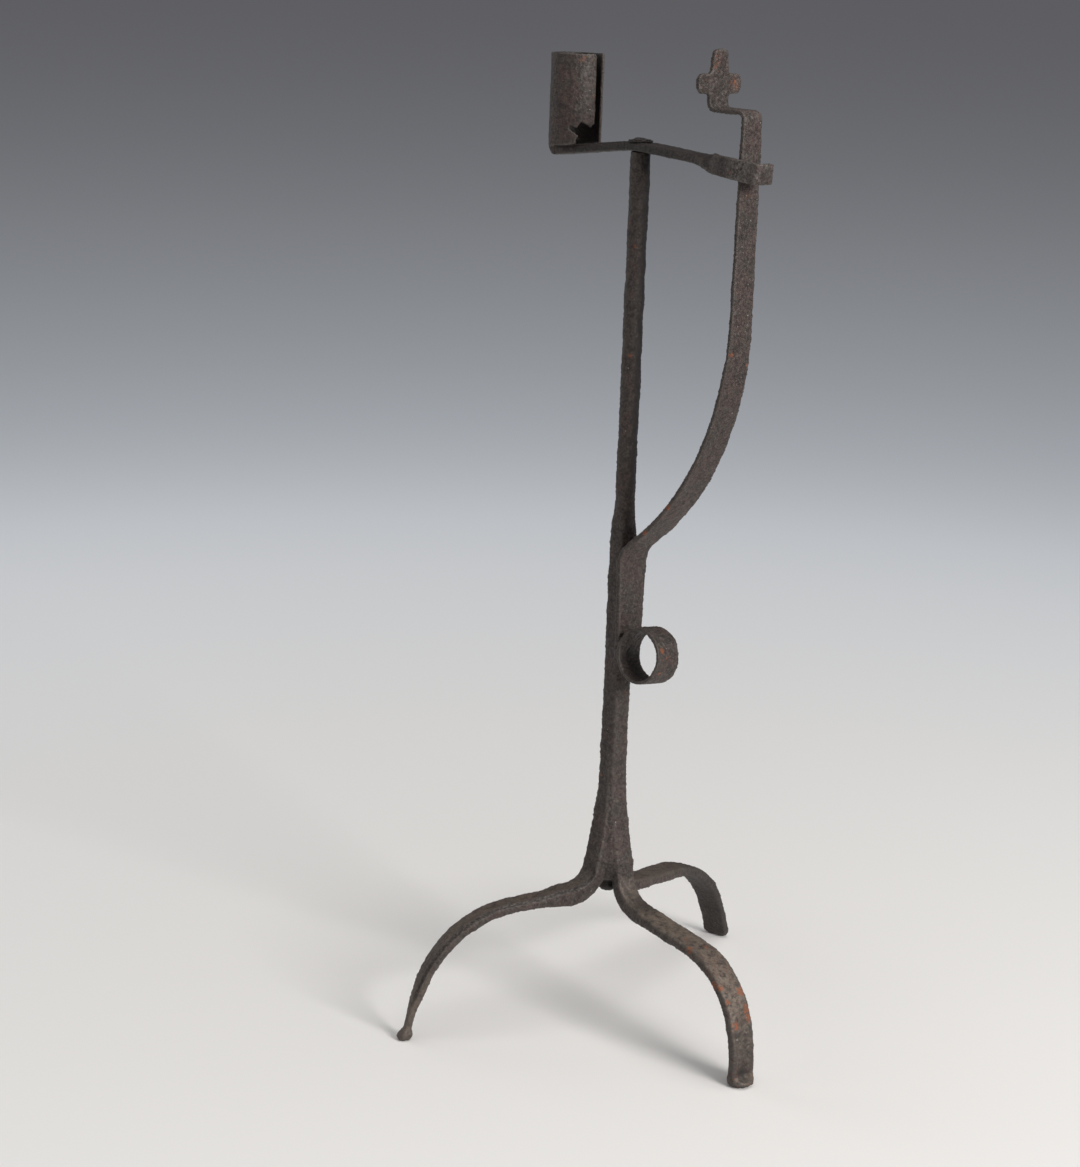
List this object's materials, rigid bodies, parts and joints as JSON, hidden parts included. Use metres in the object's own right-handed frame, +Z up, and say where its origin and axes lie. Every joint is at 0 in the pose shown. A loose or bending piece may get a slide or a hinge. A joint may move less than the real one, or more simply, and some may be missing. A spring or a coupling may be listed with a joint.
{
  "type": "candle holder",
  "caption": "Tall forged iron candle holder on bowed tripod legs, with an open-seamed socket on a swivelling cross arm and a flat spring strip with finger ring and thumb plate.",
  "frame": {"origin": "on the floor, at the middle of the rectangle that the holder covers seen from above", "axes": "+Z up along the stem; +X from the stem towards the catch hook and the spring strip, so the socket is on the -X side; +Y to the left when looking along +X"},
  "size_m": [0.1836, 0.2444, 0.5151],
  "materials": {
    "forged_iron": "forged, patinated, satin",
    "worn_iron": "forged, worn brighter at the edges"
  },
  "bodies": {
    "stand": {"stem": "forged_iron", "riveted_head": "worn_iron", "washer": "forged_iron", "left_leg": "forged_iron", "front_leg": "forged_iron", "rear_leg": "forged_iron", "spring_lap": "forged_iron", "finger_ring": "forged_iron"},
    "arm": {"cross_arm": "forged_iron", "catch_hook": "worn_iron", "candle_socket": "forged_iron"},
    "spring": {"spring_blade": "forged_iron", "thumb_plate": "worn_iron"}
  },
  "joints": [
    {"name": "arm_swivel", "type": "hinge", "parent": "stand", "child": "arm", "pos_m": [-0.02651, -0.00628, 0.465], "axis": [0, 0, 1], "range_deg": [-135, 0]},
    {"name": "spring_flex", "type": "hinge", "parent": "stand", "child": "spring", "pos_m": [-0.0112, -0.00628, 0.26512], "axis": [0, 1, 0], "range_deg": [-3, 3], "stiffness_Nm_per_rad": 20}
  ]
}
